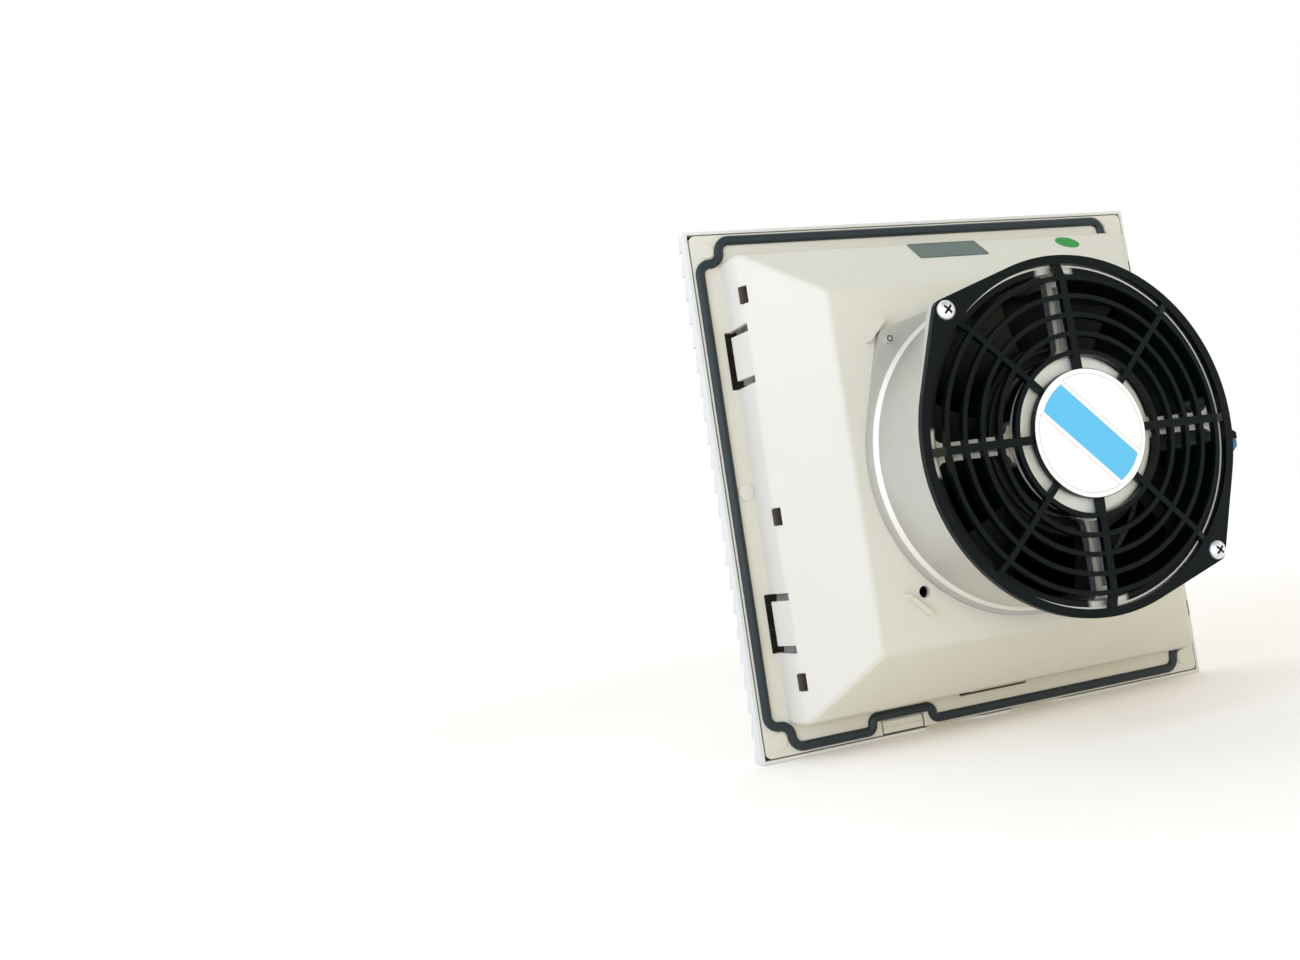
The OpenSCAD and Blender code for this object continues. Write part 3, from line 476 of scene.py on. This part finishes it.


# Fan frame: an aluminium die casting. Its outside, arms and motor carrier are bare, slightly mottled metal.
# The duct's wall, its mouth and the carrier's underside are painted dark between the arms, as painted shade
# and painted reflection of the dark duct. The dark fades out towards each arm, and the arms' channel floors
# get half of it.
# The carrier's face is turned. The mouth's bare edge is coloured bright as a painted highlight, and the
# barrel's foot and the inlet flange's sloped rim carry a painted highlight too. The inlet flange's darker
# tone is painted shade.
casting = Finish("fan_casting", IOR=1.25)
skin = casting.noise(900.0, 4.0, 0.6)
patch = casting.noise(32.0, 3.0)
duct_r, carrier_r, channel_half = 0.0695, 0.0346, 0.0025
flange_y, arm_floor_y, carrier_top, mouth_y = 0.0546, 0.0986, 0.1012, 0.1015
foot_low, foot_high = 0.0556, 0.0618
duct_from, wall_to, lip_to = duct_r - 0.0009, duct_r + 0.0028, duct_r + 0.0052
barrel_from, edge_from = duct_r + 0.003, duct_r + 0.0032
mouth_from, edge_above, channel_top = mouth_y - 0.0002, mouth_y - 0.0003, arm_floor_y + 0.0003
carrier_to, arm_from, arm_to = carrier_r + 0.0004, carrier_r + 0.001, duct_r - 0.003
rim_slope = (0.25, 0.93)
shade_fade_from, shade_fade_to, shade_fade_ragged = 0.0075, 0.0105, 0.003
radius = (casting.axis("X") ** 2.0 + casting.axis("Z") ** 2.0) ** 0.5
depth = casting.axis("Y")
beside_arm = casting.least(abs(casting.axis("X")), abs(casting.axis("Z")))
shade_fade = casting.rise(beside_arm + shade_fade_ragged * (patch - 0.5), shade_fade_from, shade_fade_to)
wall = radius.within(duct_from, wall_to)
mouth = radius.within(duct_from, lip_to) * (depth > mouth_from)
bare_edge_highlight = (radius > edge_from) * (depth > edge_above)
inlet_flange = depth < flange_y
inlet_rim = inlet_flange * casting.facing("Y").within(*rim_slope)
foot = casting.rise(depth, foot_high, foot_low) * (radius > barrel_from) * (depth > flange_y)
under = (radius < carrier_to) * (depth < carrier_top)
channel = (beside_arm < channel_half) * radius.within(arm_from, arm_to) * (depth < channel_top)
# Painted shade: the wall, mouth and carrier underside go dark between the arms, and the channel floors half
# as dark.
duct_painted_shade = casting.most(wall, mouth, under) * shade_fade * (1.0 - bare_edge_highlight)
black = casting.most(duct_painted_shade, channel * 0.5)
# The carrier's face is turned. The mouth's bare edge takes the bright turned colour as a painted highlight.
turned_and_highlight = casting.most((radius < carrier_r) * (depth > carrier_top), bare_edge_highlight)
# Painted highlight on the barrel's foot and on the inlet flange's sloped rim.
painted_highlight = casting.most(foot, inlet_rim)
bare = casting.blend(skin * 0.5 + patch * 0.5, srgb(196, 195, 188), srgb(222, 221, 215))
# The inlet flange's darker tone is painted shade.
bare = casting.blend(inlet_flange, bare, srgb(186, 184, 176))
bare = casting.blend(turned_and_highlight, bare, srgb(240, 241, 238))
bare = casting.blend(painted_highlight * 0.7, bare, srgb(250, 244, 230))
casting.set("Base Color", casting.blend(black, bare, srgb(13, 15, 16)))
casting.set("Metallic", (1.0 - black) * (1.0 - 0.5 * casting.most(turned_and_highlight, inlet_flange, 0.5 * painted_highlight)))
casting.set("Roughness", 0.40 + 0.14 * patch + 0.10 * skin + 0.16 * turned_and_highlight + 0.08 * painted_highlight)
casting.relief(skin, 0.12, 0.00015)
dress("fan_frame", casting.material, edge=0.0005)


# Motor: stamped laminations, enamelled copper winding, two ball bearings, a ground shaft and a pressed
# steel cup that turns round the outside. The cup and its ring of laminations are blackened by phosphating.
lamination = Finish("lamination_steel", Metallic=1.0)
sheet = lamination.node("TexWave", {"wave_type": "BANDS", "bands_direction": "Y"}, {
    "Vector": lamination.place, "Scale": 620.0, "Distortion": 0.2, "Detail": 1.0}, out="Fac")
lamination.set("Base Color", lamination.blend(sheet, srgb(92, 94, 98), srgb(150, 152, 156)))
lamination.set("Roughness", 0.36 + 0.16 * sheet)
lamination.relief(sheet, 0.3, 0.0001)
dress("stator_core", lamination.material, edge=0.0002)

phosphate = Finish("cup_phosphate", IOR=1.4)
bloom = phosphate.noise(420.0, 4.0, 0.6)
phosphate.set("Base Color", phosphate.blend(bloom, srgb(14, 15, 16), srgb(26, 27, 28)))
phosphate.set("Roughness", 0.5 + 0.2 * bloom)
phosphate.relief(bloom, 0.15, 0.0001)
for name in ("rotor_cup", "rotor_ring"):
    dress(name, phosphate.material, edge=0.0002)

wire = Finish("copper_wire", Metallic=1.0, Coat_Weight=0.6)
coils = wire.node("TexWave", {"wave_type": "RINGS", "rings_direction": "Y"}, {
    "Vector": wire.place, "Scale": 420.0, "Distortion": 1.4, "Detail": 2.0}, out="Fac")
wire.set("Base Color", wire.blend(coils, srgb(120, 62, 28), srgb(205, 120, 66)))
wire.set("Roughness", 0.28 + 0.2 * coils)
wire.relief(coils, 0.6, 0.0003)
dress("stator_windings", wire.material)

ground = Finish("bearing_steel", Metallic=1.0)
lines = ground.node("TexWave", {"wave_type": "RINGS", "rings_direction": "Y"}, {
    "Vector": ground.place, "Scale": 900.0, "Distortion": 0.6}, out="Fac")
ground.set("Base Color", ground.blend(lines, srgb(176, 178, 182), srgb(214, 216, 218)))
ground.set("Roughness", 0.16 + 0.12 * lines)
for name in ("rear_bearing", "front_bearing", "shaft", "shaft_retainer"):
    dress(name, ground.material, edge=0.0002)


# Impeller: a hub pressed over the rotor cup and seven twisted vanes, in black glass-filled plastic.
# The hub's edges are rounded, and the skin is slightly rough.
blade_plastic = moulded_plastic("impeller_black", srgb(5, 6, 6), srgb(10, 11, 11),
                                gloss=0.5, grain=0.08, ior=1.3)
dress("impeller", blade_plastic, edge=0.0005)
dress("impeller_vanes", blade_plastic)


# Screws: zinc-plated pan heads with a cross recess, through the ears of the fan and of its guard.
# The cross recess is coloured dark as painted shade. On a fan screw's end, a grey ring is painted shade
# round a pale pip that is a painted highlight.
zinc = Finish("zinc_steel", Metallic=1.0)
plating = zinc.noise(700.0, 3.0)
screw_circle, recess_r, end_r, pip_r = 0.081, 0.0026, 0.0017, 0.0007
guard_recess_y, fan_recess_y, end_y = (0.1048, 0.1066), (0.0454, 0.0472), (0.0525, 0.06)
screw_at = screw_circle * sqrt(0.5)
off_axis = ((abs(zinc.axis("X")) - screw_at) ** 2.0 + (abs(zinc.axis("Z")) - screw_at) ** 2.0) ** 0.5
along = zinc.axis("Y")
# Painted shade: the cross recess is coloured dark.
recess_shade = (off_axis < recess_r) * (along.within(*guard_recess_y) + along.within(*fan_recess_y))
screw_end = along.within(*end_y)
bright = zinc.blend(plating, srgb(226, 228, 229), srgb(246, 247, 247))
# On a fan screw's end, the grey ring is painted shade and the pale pip is a painted highlight.
bright = zinc.blend(screw_end * (off_axis < end_r), bright, srgb(122, 124, 122))
bright = zinc.blend(screw_end * (off_axis < pip_r), bright, srgb(216, 217, 214))
zinc.set("Base Color", zinc.blend(recess_shade, bright, srgb(52, 62, 66)))
zinc.set("Roughness", 0.38 + 0.14 * plating)
for name in ("fan_screws", "guard_screws"):
    dress(name, zinc.material, edge=0.00025)


# Finger guard: a black half-gloss moulding with rings, ribs and a closed middle disc.
# Its edges are well rounded, and two screws through its ears hold it to the fan.
guard_plastic = moulded_plastic("guard_black", srgb(3, 10, 10), srgb(8, 17, 16),
                                gloss=0.2, grain=0.05, ior=1.22)
dress("finger_guard", guard_plastic, edge=0.001, segments=4)


# Label: a round self-adhesive label on the guard's disc, cut from white coated paper.
# A sky-blue band along the diagonal and fine grey lines are printed on it.
label_radius, label_y, label_t = 0.0272, 0.1084, 0.00012
band_half, band_r, field_from, chord_at, line_r = 0.00745, 0.0242, 0.0092, 0.0093, 0.0252
ring_line_half, chord_half = 0.00014, 0.00012
paper = Finish("label_paper", Coat_Weight=0.2, Coat_Roughness=0.2)
across = (paper.axis("X") - paper.axis("Z")) * sqrt(0.5)
from_centre = (paper.axis("X") ** 2.0 + paper.axis("Z") ** 2.0) ** 0.5
band = (abs(across) < band_half) * (from_centre < band_r)
field = abs(across) > field_from
ring_line = (abs(from_centre - line_r) < ring_line_half) * field
chord = (abs(abs(across) - chord_at) < chord_half) * (from_centre < line_r)
fleck = paper.noise(1800.0, 2.0)
ground_tone = paper.blend(fleck, srgb(237, 233, 232), srgb(243, 239, 238))
with_line = paper.blend((ring_line + chord) * 0.5, ground_tone, srgb(120, 120, 120))
paper.set("Base Color", paper.blend(band, with_line, srgb(84, 184, 226)))
paper.set("Roughness", 0.34 + 0.10 * fleck)


def thin_disc(name, centre, radius, thickness, outward, material, edge=0.00004, steps=96):
    """A thin round sheet whose back lies on a surface, with a rounded edge, looking along outward."""
    shape = bmesh.new()
    outward = Vector(outward).normalized()
    side = outward.orthogonal().normalized()
    other = outward.cross(side)
    angles = [2 * pi * i / steps for i in range(steps)]
    rings = []
    for r, h in ((radius, 0.0), (radius, thickness - edge), (radius - edge, thickness),
                 (radius * 0.5, thickness)):
        middle = Vector(centre) + outward * h
        rings.append([shape.verts.new(middle + side * (r * cos(angle)) + other * (r * sin(angle)))
                      for angle in angles])
    loft(shape, rings)
    return made_from(shape, name, material)


label = thin_disc("round_label", (0.0, label_y, 0.0), label_radius, label_t, (0, 1, 0), paper.material)
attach(label, "housing")


# Terminals: a black moulded block on the fan's side with two push-on connectors below it.
# Each connector wears a sleeve of soft blue plastic, flared under the block and drawn in at the foot.
dress("terminal_block", guard_plastic, edge=0.0003)
blue_sleeve = moulded_plastic("connector_blue", srgb(26, 104, 160), srgb(40, 122, 178),
                              gloss=0.24, grain=0.04)
plug_low, plug_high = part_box("terminal_plugs")
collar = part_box("terminal_block")[0].z
plug_w, sleeve_edge = 0.0038, 0.0002
shoulder_drop, skirt_rise, foot_drop = 0.0001, 0.0016, 0.0012
shoulder_x, skirt_x, skirt_y = 0.0011, 0.0009, 0.0013
foot_x, foot_y = -0.0006, -0.0004
sleeve_levels = ((plug_high.z, 0.0, 0.0), (collar, 0.0, 0.0), (collar - shoulder_drop, shoulder_x, skirt_y),
                 (plug_low.z + skirt_rise, skirt_x, skirt_y), (plug_low.z - foot_drop, foot_x, foot_y))
sleeves = bmesh.new()
for left in (plug_low.x, plug_high.x - plug_w):
    sleeve_rings = []
    for level, wider, deeper in sleeve_levels:
        x0, x1 = left - wider, left + plug_w + wider
        y0, y1 = plug_low.y - deeper, plug_high.y + deeper
        corners = ((x0, y0), (x1, y0), (x1, y1), (x0, y1))
        sleeve_rings.append([sleeves.verts.new((x, y, level)) for x, y in corners])
    loft(sleeves, sleeve_rings)
soften(sleeves, sleeve_edge, clamp=True)
connectors = made_from(sleeves, "connector_sleeves", blue_sleeve)
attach(connectors, "housing")
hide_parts("terminal_plugs")


# Name plate: a bare satin foil plate, glued to the hood's top slope.
# Its edge stands up as a fine rim round the brushed field.
slope_low, slope_high = Vector((0.0, 0.0187, 0.1104)), Vector((0.0, 0.0505, 0.0823))
up_slope = (slope_high - slope_low).normalized()
off_slope = Vector((0.0, -up_slope.z, up_slope.y)).normalized()
foil = Finish("plate_foil", Metallic=0.6)
brushed = foil.node("Mapping", None, {0: foil.place, "Scale": (120.0, 2600.0, 2600.0)})
brush = foil.noise(1.0, 3.0, place=brushed)
foil.set("Base Color", foil.blend(brush, srgb(76, 93, 86), srgb(102, 119, 110)))
foil.set("Roughness", 0.34 + 0.14 * brush)
foil.relief(brush, 0.08, 0.0001)

plate_middle = Vector((0.0012, 0.0254, 0.1045))
plate_half, plate_reach, plate_t, plate_corner = 0.0192, 0.0078, 0.0004, 0.0012
corner_x, corner_y = plate_half - plate_corner, plate_reach - plate_corner
outline = []
for sx, sy, start in ((1, 1, 0), (-1, 1, 90), (-1, -1, 180), (1, -1, 270)):
    outline += arc((sx * corner_x, sy * corner_y), plate_corner, start, start + 90, 5)
rim = ((0.0, 0.0), (0.0, plate_t * 0.7), (0.00015, plate_t), (0.0006, plate_t), (0.0008, plate_t * 0.8))
plate_shape = bmesh.new()
plate_rings = []
for inset, rise in rim:
    ring = []
    for u, v in outline:
        u -= inset * (1 if u > 0 else -1)
        v -= inset * (1 if v > 0 else -1)
        on_slope = plate_middle + Vector((u, 0, 0)) + up_slope * v + off_slope * rise
        ring.append(plate_shape.verts.new(on_slope))
    plate_rings.append(ring)
loft(plate_shape, plate_rings)
name_plate = made_from(plate_shape, "name_plate", foil.material)
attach(name_plate, "housing")


# Sticker: a small round green sticker on the same slope, beside the plate.
# Thin self-adhesive film, slightly uneven in colour.
sticker_middle, sticker_radius, sticker_t = Vector((-0.069, 0.0254, 0.1045)), 0.0062, 0.0001
green = Finish("sticker_green", IOR=1.25)
fade = green.noise(300.0, 3.0)
green.set("Base Color", green.blend(fade, srgb(2, 128, 34), srgb(12, 150, 50)))
green.set("Roughness", 0.36 + 0.16 * fade)
sticker = thin_disc("round_sticker", sticker_middle, sticker_radius, sticker_t, off_slope, green.material,
                    steps=48)
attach(sticker, "housing")


# Studio: a pale floor that runs into a white surround, and three soft lamps. The floor glows a little,
# warm near the part and white far off, and the surround is dimmer overhead on the fan's side.
# The main lamp stands on the side that is on the left in the picture.
floor_z, floor_half = -0.1278, 8.0
near_glow, far_glow = (0.112, 0.076, 0.03, 1.0), (0.34, 0.34, 0.34, 1.0)
near_to, far_from = 0.35, 1.4
floor_finish = Finish("floor_white", Roughness=0.8, IOR=1.2, Emission_Strength=1.0)
from_part = (floor_finish.axis("X") ** 2.0 + floor_finish.axis("Y") ** 2.0) ** 0.5
far_off = floor_finish.rise(from_part, near_to, far_from)
floor_finish.set("Emission Color", floor_finish.blend(far_off, near_glow, far_glow))
dust = floor_finish.noise(3.0)
floor_finish.set("Base Color", floor_finish.blend(dust, srgb(250, 250, 249), srgb(253, 253, 253)))
floor_mesh = bpy.data.meshes.new("floor")
floor_corners = [(-floor_half, -floor_half, floor_z), (floor_half, -floor_half, floor_z),
                 (floor_half, floor_half, floor_z), (-floor_half, floor_half, floor_z)]
floor_mesh.from_pydata(floor_corners, [], [(0, 1, 2, 3)])
floor_mesh.materials.append(floor_finish.material)
floor = stand("floor", floor_mesh)

fan_side, overhead, dimmest = (-0.2, 0.6), (0.42, 0.7), 0.36
surround = bpy.data.worlds.new("surround")
surround.use_nodes = True
sky, wires = surround.node_tree.nodes, surround.node_tree.links
toward = sky.new("ShaderNodeSeparateXYZ")
wires.new(sky.new("ShaderNodeTexCoord").outputs["Generated"], toward.inputs[0])
dimmer = sky.new("ShaderNodeMath")
dimmer.operation = "MULTIPLY"
for factor, (axis, (start, end)) in zip(dimmer.inputs, (("Y", fan_side), ("Z", overhead))):
    slope = sky.new("ShaderNodeMapRange")
    slope.interpolation_type = "SMOOTHSTEP"
    slope.inputs["From Min"].default_value = start
    slope.inputs["From Max"].default_value = end
    wires.new(toward.outputs[axis], slope.inputs["Value"])
    wires.new(slope.outputs[0], factor)
shine = sky.new("ShaderNodeMapRange")
shine.inputs["To Min"].default_value = 1.0
shine.inputs["To Max"].default_value = dimmest
wires.new(dimmer.outputs[0], shine.inputs["Value"])
wires.new(shine.outputs[0], sky["Background"].inputs["Strength"])
sky["Background"].inputs["Color"].default_value = (1.0, 1.0, 1.0, 1.0)
bpy.context.scene.world = surround
bpy.context.scene.view_settings.view_transform = "Standard"


def soft_lamp(name, place, aim, size, power, colour):
    """A round area lamp that looks at a point."""
    lamp = bpy.data.lights.new(name, "AREA")
    lamp.shape, lamp.size, lamp.energy, lamp.color = "DISK", size, power, colour
    holder = stand(name, lamp)
    holder.location = place
    holder.rotation_euler = (Vector(aim) - Vector(place)).to_track_quat("-Z", "Y").to_euler()


soft_lamp("key", place=(1.2, 0.65, 0.25), aim=(0.0, 0.02, 0.0), size=0.8, power=7.6,
          colour=(0.47, 0.54, 1.0))
soft_lamp("fill", place=(0.35, 1.3, 0.12), aim=(0.0, 0.05, 0.0), size=0.4, power=2.3,
          colour=(1.0, 0.99, 0.48))
soft_lamp("top", place=(0.9, 0.5, 1.1), aim=(0.0, 0.05, 0.0), size=0.8, power=2.5,
          colour=(0.70, 1.0, 0.92))


# Camera: fitted to the cover's corners, the screws and the holes of the photograph, rolled as it was held.
# Its focal length and the picture's middle are in the photograph's pixels.
photo_w, photo_h, sensor_w = 1300.0, 960.0, 36.0
focal_px, middle_x, middle_y = 1132.38, 714.88, 497.36
eye = Vector((0.30512, 0.50319, -0.02875))
right = Vector((-0.93743, 0.31509, -0.14811))
down = Vector((0.12297, -0.09835, -0.98753))
look = Vector((-0.32573, -0.94395, 0.05345))
camera = bpy.data.cameras.new("camera")
camera.sensor_width = sensor_w
camera.lens = focal_px * sensor_w / photo_w
camera.shift_x = (photo_w / 2 - middle_x) / photo_w
camera.shift_y = (middle_y - photo_h / 2) / photo_w
camera.clip_start = 0.01
viewer = stand("camera", camera)
viewer.matrix_world = Matrix((
    (right.x, -down.x, -look.x, eye.x), (right.y, -down.y, -look.y, eye.y),
    (right.z, -down.z, -look.z, eye.z), (0.0, 0.0, 0.0, 1.0)))
bpy.context.scene.camera = viewer
